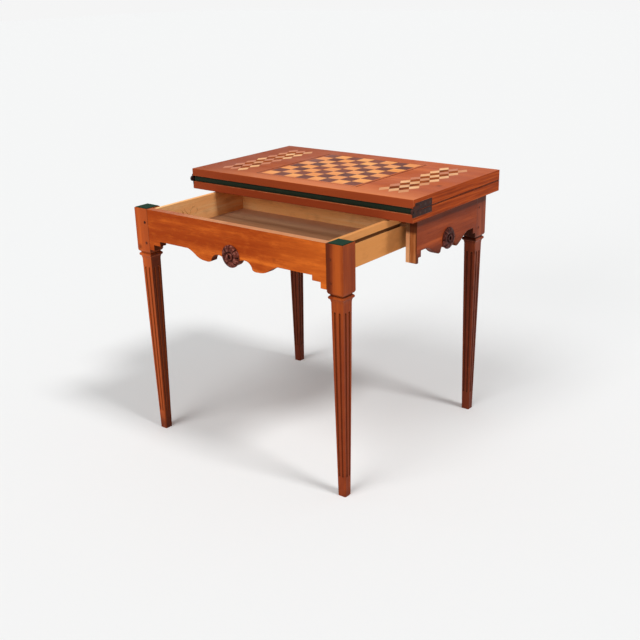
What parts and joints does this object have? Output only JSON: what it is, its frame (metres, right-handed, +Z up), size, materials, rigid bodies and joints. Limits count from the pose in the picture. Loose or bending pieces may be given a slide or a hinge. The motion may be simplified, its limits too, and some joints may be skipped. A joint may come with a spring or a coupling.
{
  "type": "folding games table",
  "caption": "Fold-over games table: front legs draw out with a shallow drawer, and the inlaid hinged top opens forward onto them; fluted square legs and shaped aprons with rosettes.",
  "frame": {"origin": "on the floor, under the middle of the table's bounding box with the front legs drawn out and the top shut, as in the picture", "axes": "+X to the right along the front apron, +Y to the back, +Z up"},
  "size_m": [0.7944, 0.724, 0.75],
  "materials": {
    "leg_wood": "polished red-brown hardwood",
    "apron_wood": "polished orange-brown hardwood",
    "rosette_wood": "dark stained carving",
    "guide_wood": "plain softwood",
    "peg_wood": "dark hardwood",
    "leaf_wood": "polished red-brown hardwood",
    "drawer_wood": "unpolished pale wood",
    "floor_wood": "unpolished wood",
    "baize": "napped wool",
    "hinge_iron": "dark patinated iron",
    "screw_steel": "dark steel",
    "light_veneer": "polished satinwood",
    "dark_veneer": "polished dark hardwood",
    "string_veneer": "polished dark hardwood",
    "pale_lozenge": "polished pale veneer",
    "dark_lozenge": "polished dark hardwood"
  },
  "bodies": {
    "carcass": {"rear_left_leg": "leg_wood", "rear_right_leg": "leg_wood", "left_side_apron": "apron_wood", "right_side_apron": "apron_wood", "back_apron": "apron_wood", "left_rosette": "rosette_wood", "right_rosette": "rosette_wood", "left_guide": "guide_wood", "right_guide": "guide_wood", "left_runner": "guide_wood", "right_runner": "guide_wood", "rear_pegs": "peg_wood", "stop_batten": "guide_wood", "stop_screws": "screw_steel", "lower_leaf": "leaf_wood", "lower_lining": "baize", "fold_strip": "baize", "left_lower_hinge": "hinge_iron", "right_lower_hinge": "hinge_iron", "hinge_pins": "hinge_iron", "lower_hinge_screws": "screw_steel"},
    "front_frame": {"front_left_leg": "leg_wood", "front_right_leg": "leg_wood", "front_apron": "apron_wood", "front_rosette": "rosette_wood", "front_pegs": "peg_wood", "drawer_left_side": "drawer_wood", "drawer_right_side": "drawer_wood", "drawer_back": "drawer_wood", "drawer_floor": "floor_wood", "left_post_pad": "baize", "right_post_pad": "baize"},
    "playing_leaf": {"upper_leaf": "leaf_wood", "upper_lining": "baize", "chess_squares_light": "light_veneer", "chess_squares_dark": "dark_veneer", "stringing": "string_veneer", "lozenges_light": "pale_lozenge", "lozenges_dark": "dark_lozenge", "left_upper_hinge": "hinge_iron", "right_upper_hinge": "hinge_iron", "upper_hinge_screws": "screw_steel"}
  },
  "joints": [
    {"name": "front_slide", "type": "slide", "parent": "carcass", "child": "front_frame", "axis": [0, -1, 0], "range_m": [-0.272, 0.02]},
    {"name": "top_hinge", "type": "hinge", "parent": "carcass", "child": "playing_leaf", "pos_m": [0, -0.094, 0.7195], "axis": [1, 0, 0], "range_deg": [0, 180], "deforming": ["fold_strip"]}
  ]
}
